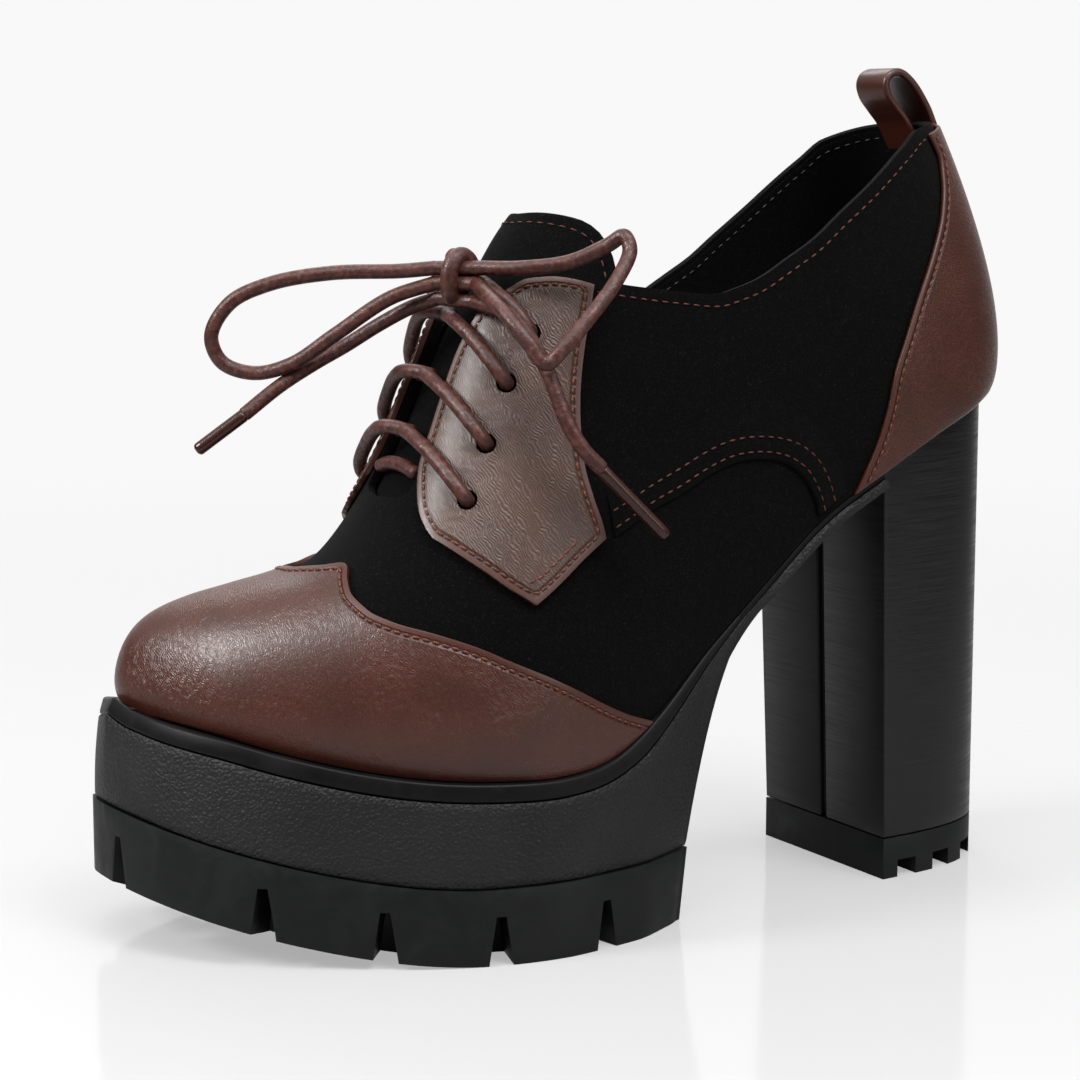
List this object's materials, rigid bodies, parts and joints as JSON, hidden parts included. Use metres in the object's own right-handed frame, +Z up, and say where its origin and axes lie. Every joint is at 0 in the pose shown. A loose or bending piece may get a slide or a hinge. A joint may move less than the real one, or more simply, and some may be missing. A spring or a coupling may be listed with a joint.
{
  "type": "heeled oxford shoe",
  "caption": "Left platform lace-up shoe: hollow upper with toe cap, facings, counter and tongue, tied round lace, notched forefoot sole, and a tall block heel with a D-shaped section.",
  "frame": {"origin": "middle of the flat tread patch under the ball of the foot, on the floor", "axes": "toe to -Y, heel to +Y, outer side of the foot to +X, +Z up"},
  "size_m": [0.095, 0.2234, 0.1968],
  "materials": {
    "suede": "black suede with a short nap",
    "smooth_leather": "smooth dark brown leather, half gloss",
    "grained_leather": "crinkled taupe brown leather, half gloss",
    "lining_leather": "smooth black lining leather",
    "rim_strip": "smooth black strip",
    "platform_wrap": "pebbled black wrap",
    "sole_rubber": "matt black moulded rubber",
    "heel_block": "black heel cover with a fine level grain",
    "lace_cord": "waxed round brown cord",
    "lace_tip": "dark film tip"
  },
  "bodies": {
    "root": {"upper": "suede", "toe_cap": "smooth_leather", "eyestay_outer": "grained_leather", "eyestay_inner": "grained_leather", "counter": "smooth_leather", "pull_loop": "smooth_leather", "tongue": "suede", "insole": "lining_leather", "rim": "rim_strip", "platform": "platform_wrap", "outsole": "sole_rubber", "heel": "heel_block", "top_piece": "sole_rubber", "lacing_1": "lace_cord", "lacing_2": "lace_cord", "lacing_3": "lace_cord", "lacing_4": "lace_cord", "lacing_bottom": "lace_cord", "knot": "lace_cord", "bow_loop_inner": "lace_cord", "bow_loop_outer": "lace_cord", "lace_end_inner": "lace_cord", "lace_end_outer": "lace_cord", "lace_tip_inner": "lace_tip", "lace_tip_outer": "lace_tip"}
  },
  "joints": []
}
